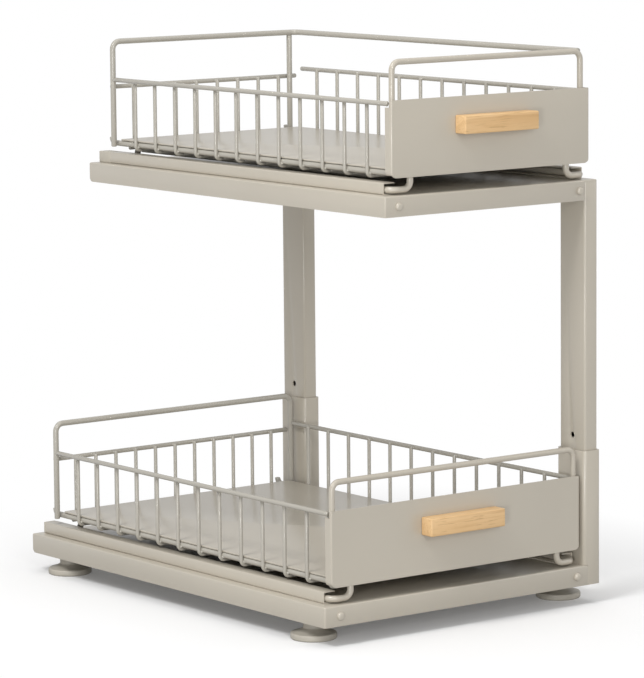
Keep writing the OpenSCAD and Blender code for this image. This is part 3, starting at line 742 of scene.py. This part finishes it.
footSettings = {
    "rim": 5.4 * mm, "ring": 2.2 * mm, "cone": 2.0 * mm, "shoulder": 11.5 * mm, "step": 1.6 * mm,
    "collar": 8.75 * mm, "bore": 4.3 * mm, "boreFloor": 4.1 * mm, "rimRound": 1.5 * mm,
    "collarRound": 0.7 * mm, "pad": 0.5 * mm, "padInset": 3 * mm, "pitch": 1.25 * mm, "sides": 64,
}


def makeFoot(name, node):
    low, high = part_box(node)
    radius, middle = (high.x - low.x) / 2, (low + high) / 2
    rim, ring, shoulder, collar = (footSettings[key] for key in ("rim", "ring", "shoulder", "collar"))
    cone, step = footSettings["cone"], footSettings["step"]
    foot = rod(name, (middle.x, middle.y, 0), (middle.x, middle.y, rim), radius * 2, footSettings["sides"])
    pick(foot, "FACE", lambda at, normal: normal.z > 0.9)
    bpy.ops.mesh.inset(thickness=ring, depth=0)
    bpy.ops.mesh.inset(thickness=radius - ring - shoulder, depth=0)
    bpy.ops.transform.translate(value=(0, 0, cone))
    bpy.ops.mesh.inset(thickness=shoulder - collar, depth=0)
    bpy.ops.transform.translate(value=(0, 0, step))
    bpy.ops.mesh.extrude_region_move(TRANSFORM_OT_translate={"value": (0, 0, high.z - rim - cone - step)})
    bpy.ops.mesh.inset(thickness=collar - footSettings["bore"], depth=0)
    boreDepth = high.z - footSettings["boreFloor"]
    bpy.ops.mesh.extrude_region_move(TRANSFORM_OT_translate={"value": (0, 0, -boreDepth)})
    leave()
    pick(foot, "FACE", lambda at, normal: normal.z < -0.9)
    bpy.ops.mesh.inset(thickness=footSettings["padInset"], depth=0)
    bpy.ops.mesh.extrude_region_move(TRANSFORM_OT_translate={"value": (0, 0, footSettings["pad"])})
    leave()
    roundEdges(foot, footSettings["rimRound"], 4, lambda at, along: abs(along.z) < 0.1
               and at.z < rim + near and (at.xy - middle.xy).length > radius - 2 * near)
    roundEdges(foot, footSettings["collarRound"], 3, lambda at, along: abs(along.z) < 0.1
               and at.z > rim + 10 * near and (at.xy - middle.xy).length > collar - 2 * near)
    only(foot)
    bpy.ops.object.shade_smooth_by_angle(angle=math.radians(32))
    install(foot, "plastic", node)


for place in ("front_left", "front_right", "back_left", "back_right"):
    word = place.split("_")[0] + place.split("_")[1].title()
    makeFoot(word + "Foot", place + "_foot")
    low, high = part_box(place + "_stud")
    stud = threaded("studRod", low.z, high.z, high.x - low.x, footSettings["pitch"])
    finished = copyTo(stud, ((low.x + high.x) / 2, (low.y + high.y) / 2, 0))
    putAway(stud)
    finished.name = finished.data.name = word + "Stud"
    install(finished, "zinc", place + "_stud")

footNut = nutModel("footNut", *fastenerSettings["footNut"])
nutLow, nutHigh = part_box("foot_nuts")
middles = []
for place in ("front_left", "front_right", "back_left", "back_right"):
    low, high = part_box(place + "_stud")
    middles.append(Vector(((low.x + high.x) / 2, (low.y + high.y) / 2, (nutLow.z + nutHigh.z) / 2)))
putRound("footNuts", "zinc", "foot_nuts", footNut, middles, (0, 0, 0))
putAway(footNut)
print("feet turned")


# ---- baskets ----

wireSettings = {                        # diameters, bends and how round the thin wires are
    "thin": 3.2 * mm, "rail": 4.0 * mm, "frame": 5.0 * mm, "runner": 5.5 * mm,
    "thinBend": 3.9 * mm, "tailBend": 5.0 * mm, "guardBend": 7.0 * mm, "runnerBend": 6.5 * mm,
    "thinSides": 12,
}
basketSettings = {
    # insets from the side
    "railInset": 2.0 * mm, "sideInset": 5.2 * mm, "baseInset": 9.1 * mm, "legInset": 2.5 * mm,
    "guardInset": 6.8 * mm, "hookInset": 22.25 * mm, "runnerInset": 3.45 * mm, "longInset": 26.9 * mm,
    "backRailInset": 3.5 * mm,
    # places behind the face of the panel, and how far the tail reaches past the back
    "frontLeg": 4.0 * mm, "hookPlace": 4.25 * mm, "railStart": 8.3 * mm, "baseStart": 1.5 * mm,
    "longStart": 65 * mm, "tailReach": 7 * mm,
    # heights over the deck
    "floorWire": 13.2 * mm, "longWire": 10.2 * mm, "base": 17.1 * mm, "rail": 73.5 * mm,
    "backRail": 67.0 * mm, "backFoot": 14.6 * mm, "frontFoot": 19.9 * mm, "floorFoot": 21.4 * mm,
    "runner": 4.05 * mm, "frontHookTop": 19.6 * mm, "rearHookTop": 11.3 * mm,
    # what stays open between wires, and the straight end of a thin wire after its bend
    "gap": 0.3 * mm, "touch": 0.1 * mm, "thinEnd": 0.15 * mm,
}
weldSettings = {
    # how wide, deep and high the beads are
    "sideTop": (2.2 * mm, 4.6 * mm, 3.0 * mm), "sideLow": (2.8 * mm, 5.6 * mm, 3.0 * mm),
    "backTop": (4.6 * mm, 2.2 * mm, 3.0 * mm), "backLow": (5.6 * mm, 2.8 * mm, 3.0 * mm),
    "railEnd": (3.6 * mm, 3.0 * mm, 4.6 * mm), "crossing": (4.2 * mm, 4.2 * mm, 1.5 * mm),
    "guardEnd": (5.0 * mm, 1.4 * mm, 5.0 * mm), "uprightTop": (5.6 * mm, 5.0 * mm, 1.6 * mm),
    # how far they lie out from the rail or base wire, and below its middle
    "topOut": 1.4 * mm, "topDrop": 0.2 * mm, "lowOut": 1.9 * mm, "lowDrop": 1.6 * mm, "railIn": 0.2 * mm,
}
tiers = {
    "lower": {"depth": 400 * mm, "sideCount": 13, "sideStart": 9 * mm, "backCount": 11, "guard": 99 * mm},
    "upper": {"depth": 396 * mm, "sideCount": 12, "sideStart": 38 * mm, "backCount": 8, "guard": 106.8 * mm},
}
for tier, sizes in tiers.items():
    low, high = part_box(tier + "_front_panel")
    sizes.update({"left": low.x, "right": high.x, "width": high.x - low.x})
    sizes.update({"face": low.y, "floor": deckTop[tier]})
    sizes["sidePitch"] = (sizes["depth"] - sizes["sideStart"]) / sizes["sideCount"]
    sizes["backPitch"] = (sizes["width"] - 2 * basketSettings["legInset"]) / (sizes["backCount"] + 1)
    sizes["backRail"] = sizes["depth"] + 4.8 * mm
    sizes["backWire"] = sizes["depth"] + 1.6 * mm
    sizes["backBase"] = sizes["depth"] - 2.3 * mm
    sizes["lastCross"] = sizes["depth"] - 8.1 * mm


def spot(tier, side, inset, place, height):
    # a point of a basket, measured in from its left or right side
    sizes = tiers[tier]
    x = sizes["left"] + inset if side == "left" else sizes["right"] - inset
    return Vector((x, sizes["face"] + place, sizes["floor"] + height))


panelSettings = {
    "sheet": 1.2 * mm, "fold": 1.6 * mm, "lowCorner": 5.5 * mm, "topCorner": 1.8 * mm,
    "notch": 6 * mm, "notchWidth": 2.2 * mm, "edge": 0.3 * mm,
}


def makePanel(tier):
    node = tier + "_front_panel"
    low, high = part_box(node)
    panel = block(tier + "FrontPanel", low, high)
    removeFaces(panel, lambda at, normal: normal.y > 0.9 or abs(normal.z) > 0.9)
    fold, notch = panelSettings["fold"], panelSettings["notch"]
    roundEdges(panel, fold, 5, lambda at, along: abs(along.z) > 0.9 and at.y < low.y + near)
    thicken(panel, panelSettings["sheet"])
    corners = ((low.z, up, panelSettings["lowCorner"]), (high.z, down, panelSettings["topCorner"]))
    for x, inward in ((low.x, right), (high.x, left)):
        for z, rise, radius in corners:
            carve(panel, cornerCutter((x, (low.y + high.y) / 2, z), back, inward + rise, radius, 8 * past))
        # the return is notched beside the guard's leg
        ends = sorted((x - inward.x * past, x + inward.x * panelSettings["notchWidth"]))
        if inward.x > 0 or tier == "lower":
            carve(panel, block("legNotch", (ends[0], low.y + fold, high.z - notch),
                               (ends[1], high.y + past, high.z + past)))
    soften(panel, panelSettings["edge"], 3)
    install(panel, "paint", node)


handleSettings = {"round": 1.1 * mm}


def makeHandle(tier):
    low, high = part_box(tier + "_handle")
    handle = block(tier + "Handle", low, high)
    roundEdges(handle, handleSettings["round"], 4, lambda at, along: True)
    soften(handle, 0, angle=40)
    install(handle, "wood", tier + "_handle")


plateSettings = {"corner": 2.5 * mm, "edge": 0.3 * mm}


def makeFloorPlate(tier):
    low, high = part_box(tier + "_floor_plate")
    plate = block(tier + "FloorPlate", low, high)
    roundEdges(plate, plateSettings["corner"], 4, lambda at, along: abs(along.z) > 0.9)
    soften(plate, plateSettings["edge"])
    install(plate, "paint", tier + "_floor_plate")


def makeSide(tier, side):
    # one side of a basket: a rail, a base wire with its upturned tail, and thin wires bent in under it
    sizes, inward = tiers[tier], right if side == "left" else left
    b, w, beads = basketSettings, wireSettings, weldSettings
    thinTop = b["rail"] + w["rail"] / 4
    first = spot(tier, side, b["sideInset"], sizes["sideStart"], thinTop)
    thin = bentWire("thinWire", first, down, [
        thinTop - b["base"], (inward, w["thinBend"]), w["thinBend"] + b["thinEnd"]],
        w["thin"], w["thinSides"])
    topWeld = bead(spot(tier, side, b["sideInset"] - beads["topOut"], sizes["sideStart"],
                        b["rail"] - beads["topDrop"]), beads["sideTop"])
    lowWeld = bead(spot(tier, side, b["baseInset"] - beads["lowOut"], sizes["sideStart"],
                        b["base"] - beads["lowDrop"]), beads["sideLow"])
    thins = joined("thinWires", [thin, topWeld, lowWeld])
    thins = repeat(thins, sizes["sideCount"], back * sizes["sidePitch"])
    rail = bentWire("sideRail", spot(tier, side, b["railInset"], b["railStart"], b["rail"]), back,
                    [sizes["depth"] - w["frame"] / 2 - b["touch"] - b["railStart"]], w["rail"])
    base = bentWire("baseWire", spot(tier, side, b["baseInset"], b["baseStart"], b["base"]), back,
                    [sizes["depth"] + b["tailReach"] - b["baseStart"], (up, w["tailBend"])], w["frame"])
    railWeld = bead(spot(tier, side, b["railInset"] + beads["railIn"], b["railStart"], b["rail"]),
                    beads["railEnd"])
    name = tier + side.title() + "Wires"
    install(joined(name, [rail, base, thins, railWeld]), "wire", f"{tier}_{side}_wires")


def makeBack(tier):
    sizes, b, w, beads = tiers[tier], basketSettings, wireSettings, weldSettings
    thinTop = b["backRail"] + w["rail"] / 4
    firstInset = b["legInset"] + sizes["backPitch"]
    thin = bentWire("thinWire", spot(tier, "left", firstInset, sizes["backWire"], thinTop), down, [
        thinTop - b["base"], (front, w["thinBend"])], w["thin"], w["thinSides"])
    topWeld = bead(spot(tier, "left", firstInset, sizes["backWire"] + beads["topOut"],
                        b["backRail"] - beads["topDrop"]), beads["backTop"])
    lowWeld = bead(spot(tier, "left", firstInset, sizes["backBase"] + beads["lowOut"],
                        b["base"] - beads["lowDrop"]), beads["backLow"])
    thins = joined("thinWires", [thin, topWeld, lowWeld])
    thins = repeat(thins, sizes["backCount"], right * sizes["backPitch"])
    railStart = spot(tier, "left", b["backRailInset"], sizes["backRail"], b["backRail"])
    rail = bentWire("backRail", railStart, right, [sizes["width"] - 2 * b["backRailInset"]], w["rail"])
    end = b["baseInset"] + w["frame"] / 2 + b["touch"]
    base = bentWire("backBaseWire", spot(tier, "left", end, sizes["backBase"], b["base"]), right,
                    [sizes["width"] - 2 * end], w["frame"])
    install(joined(tier + "BackWires", [rail, base, thins]), "wire", tier + "_back_wires")


def makeFloorWires(tier):
    sizes, b, w = tiers[tier], basketSettings, wireSettings
    inset = b["baseInset"] + w["thinBend"] + b["thinEnd"]
    length = sizes["width"] - 2 * inset
    cross = bentWire("crossWire", spot(tier, "left", inset, sizes["sideStart"], b["floorWire"]), right,
                     [length], w["thin"], w["thinSides"])
    crosses = repeat(cross, sizes["sideCount"], back * sizes["sidePitch"])
    lastCross = bentWire("lastCross", spot(tier, "left", inset, sizes["lastCross"], b["floorWire"]), right,
                         [length], w["thin"], w["thinSides"])
    span = (sizes["width"] - 2 * b["longInset"]) / 3
    long = bentWire("longWire", spot(tier, "left", b["longInset"], b["longStart"], b["longWire"]), back,
                    [sizes["lastCross"] - b["longStart"]], w["thin"], w["thinSides"])
    # this many cross wires lie in front of the long ones
    free = math.ceil((b["longStart"] - sizes["sideStart"]) / sizes["sidePitch"])
    weld = bead(spot(tier, "left", b["longInset"], sizes["sideStart"] + free * sizes["sidePitch"],
                     (b["longWire"] + b["floorWire"]) / 2), weldSettings["crossing"])
    welds = repeat(weld, sizes["sideCount"] - free, back * sizes["sidePitch"])
    longs = repeat(joined("longWires", [long, welds]), 4, right * span)
    install(joined(tier + "FloorWires", [crosses, lastCross, longs]), "wire", tier + "_floor_wires")


def makeRunner(tier, side):
    # a wire that slides in its channel, turned in at both ends and hooked up to the basket
    sizes, b, w = tiers[tier], basketSettings, wireSettings
    inward, outward = (right, left) if side == "left" else (left, right)
    bend = w["runnerBend"]
    run = b["hookInset"] - b["runnerInset"] - 2 * bend
    hook = spot(tier, side, b["hookInset"], b["hookPlace"], b["frontHookTop"])
    runner = bentWire(tier + side.title() + "Runner", hook, down, [
        b["frontHookTop"] - b["runner"] - bend, (outward, bend), run, (back, bend),
        sizes["lastCross"] - b["hookPlace"] - 2 * bend, (inward, bend), run, (up, bend),
        b["rearHookTop"] - b["runner"] - bend], w["runner"])
    install(runner, "paint", f"{tier}_{side}_runner")


def makeHoop(name, node, finish, tier, insets, place, feet):
    # a guard hoop across the basket: two legs and a top bar, bent from one wire
    sizes, w = tiers[tier], wireSettings
    bend, top = w["guardBend"], sizes["guard"]
    hoop = bentWire(name, spot(tier, "left", insets[0], place, feet[0]), up, [
        top - bend - feet[0], (right, bend), sizes["width"] - sum(insets) - 2 * bend, (down, bend),
        top - bend - feet[1]], w["frame"])
    install(hoop, finish, node)


def makeCorneredGuard(tier):
    # one wire: up at the back left, across the back and forward along the right, with an upright
    # under its corner
    sizes, b, w, beads = tiers[tier], basketSettings, wireSettings, weldSettings
    bend, top, foot = w["guardBend"], sizes["guard"], b["backFoot"]
    guard = bentWire(tier + "BackGuard", spot(tier, "left", b["legInset"], sizes["depth"], foot), up, [
        top - bend - foot, (right, bend),
        sizes["width"] - b["legInset"] - b["guardInset"] - 2 * bend, (front, bend),
        sizes["depth"] - bend - b["frontLeg"] - w["frame"] / 2 - b["touch"]], w["frame"])
    weld = bead(spot(tier, "right", b["guardInset"], b["frontLeg"] + w["frame"] / 2, top),
                beads["guardEnd"])
    install(joined(tier + "BackGuard", [guard, weld]), "wire", tier + "_back_guard")
    foot, inset = b["frontFoot"], b["guardInset"] + bend
    upright = bentWire(tier + "BackUpright", spot(tier, "right", inset, sizes["depth"], foot), up,
                       [top - w["frame"] / 2 - b["gap"] - foot], w["frame"])
    topWeld = bead(spot(tier, "right", inset, sizes["depth"], top - w["frame"] / 2), beads["uprightTop"])
    install(joined(tier + "BackUpright", [upright, topWeld]), "wire", tier + "_back_upright")


for tier in tiers:
    makePanel(tier)
    makeHandle(tier)
    makeFloorPlate(tier)
    makeFloorWires(tier)
    makeBack(tier)
    for side in ("left", "right"):
        makeSide(tier, side)
        makeRunner(tier, side)
    print(tier, "basket welded")
b = basketSettings
makeHoop("lowerBackGuard", "lower_back_guard", "wire", "lower",
         (b["legInset"], b["legInset"]), tiers["lower"]["depth"], (b["backFoot"], b["backFoot"]))
makeHoop("lowerFrontGuard", "lower_front_guard", "paint", "lower",
         (b["frontLeg"], b["frontLeg"]), b["frontLeg"], (b["frontFoot"], b["frontFoot"]))
makeHoop("upperFrontGuard", "upper_front_guard", "paint", "upper",
         (b["frontLeg"], b["guardInset"]), b["frontLeg"], (b["floorFoot"], b["floorFoot"]))
makeCorneredGuard("upper")
print("guards bent")


# ---- camera, floor and light ----

cameraSettings = {
    "eye": (-2.01414, -2.65447, 0.66924),
    "heading": -37.1913, "tilt": 7.4933, "roll": -0.5296,     # degrees
    "lens": 208.348, "shift": (0.01109, -0.02615),
}
lens = bpy.data.cameras.new("viewCamera")
lens.sensor_width = 36
lens.lens = cameraSettings["lens"]
lens.shift_x, lens.shift_y = cameraSettings["shift"]
lens.clip_end = 100
camera = bpy.data.objects.new("viewCamera", lens)
bpy.context.scene.collection.objects.link(camera)
turn = Euler((math.radians(90 - cameraSettings["tilt"]), 0, math.radians(cameraSettings["heading"])), "XYZ")
turn = turn.to_matrix() @ Matrix.Rotation(math.radians(cameraSettings["roll"]), 3, "Z")
camera.matrix_world = Matrix.Translation(cameraSettings["eye"]) @ turn.to_4x4()
bpy.context.scene.camera = camera

floorSettings = {
    "radius": 40,
    "colour": 0.96,                # as the camera sees it
    "bounce": 0.5,                 # as it lights the object
    "half": (0.147, 0.212),        # half the object's width and depth
    "lift": 0.10,                  # how much of the plain white is mixed in beside the object
    "fade": 0.28,                  # how far from it the floor is all plain white
}


def makeFloor(settings):
    # a white floor that keeps the shadow near the object and is plain white further off
    bpy.ops.mesh.primitive_circle_add(vertices=64, radius=settings["radius"], fill_type="NGON")
    floor = settle("studioFloor")
    finish = Finish("whiteFloor", Roughness=0.9, Specular_IOR_Level=0.1)
    where = finish.node("TexCoord", output="Object")
    size = finish.node("VectorMath", {"operation": "ABSOLUTE"}, {0: where})
    beyond = finish.node("VectorMath", {"operation": "SUBTRACT"}, {0: size, 1: settings["half"] + (0,)})
    beyond = finish.node("VectorMath", {"operation": "MAXIMUM"}, {0: beyond, 1: (0, 0, 0)})
    away = finish.node("VectorMath", {"operation": "LENGTH"}, {0: beyond}, "Value")
    seen = finish.node("LightPath", output="Is Camera Ray")
    bounce, colour = ((settings[key],) * 3 + (1,) for key in ("bounce", "colour"))
    finish.feed("Base Color", finish.blend(seen, bounce, colour))
    glossy = finish.node("LightPath", output="Is Glossy Ray")
    far = finish.node("MapRange", {"clamp": True}, {
        "Value": away, "From Min": 0, "From Max": settings["fade"], "To Min": settings["lift"], "To Max": 1})
    glow = finish.node("Emission", {}, {"Color": (1, 1, 1, 1), "Strength": 1})
    painted = Signal(finish, finish.shader.outputs[0])
    mixed = finish.node("MixShader", {}, {0: (seen + glossy) * far, 1: painted, 2: glow})
    finish.tree.links.new(mixed.socket, finish.tree.nodes["Material Output"].inputs["Surface"])
    floor.data.materials.append(finish.material)


makeFloor(floorSettings)

worldSettings = {
    "light": 0.46,                 # as it lights the object; it is 1, white, to the camera
    "mirrored": 0.4,               # how much nearer to that white reflections see it
}
world = bpy.data.worlds.new("studioWorld")
bpy.context.scene.world = world
world.use_nodes = True
nodes, links = world.node_tree.nodes, world.node_tree.links
path = nodes.new("ShaderNodeLightPath")
share = nodes.new("ShaderNodeMath")
share.operation = "MULTIPLY_ADD"
share.inputs[1].default_value = worldSettings["mirrored"]
links.new(path.outputs["Is Glossy Ray"], share.inputs[0])
links.new(path.outputs["Is Camera Ray"], share.inputs[2])
fill = nodes.new("ShaderNodeMapRange")
fill.inputs["To Min"].default_value = worldSettings["light"]
fill.inputs["To Max"].default_value = 1
links.new(share.outputs[0], fill.inputs["Value"])
nodes["Background"].inputs["Color"].default_value = (1, 1, 1, 1)
links.new(fill.outputs[0], nodes["Background"].inputs["Strength"])

lampSettings = {                        # place, aim, size in metres, watts
    "keySoftbox": ((-1.6, -3.8, 1.5), (0, 0, 0.22), 1.0, 38),
    "leftSoftbox": ((-2.1, -0.5, 2.8), (0, 0, 0.15), 1.0, 56),
    "topSoftbox": ((0.2, 0.1, 2.8), (0, 0, 0.1), 2.0, 15),
    "rightStrip": ((2.2, -1.4, 1.2), (0, 0, 0.25), 1.0, 6),
    "lowStrip": ((-2.75, -2.45, 0.22), (0, 0, 0.22), 0.44, 28),
}
for name, (place, aim, size, watts) in lampSettings.items():
    light = bpy.data.lights.new(name, "AREA")
    light.shape = "SQUARE"
    light.size = size
    light.energy = watts
    lamp = bpy.data.objects.new(name, light)
    bpy.context.scene.collection.objects.link(lamp)
    lamp.location = place
    lamp.rotation_euler = (Vector(aim) - Vector(place)).to_track_quat("-Z", "Y").to_euler()

bpy.context.scene.view_settings.view_transform = "Standard"
print("camera, floor and lamps set")
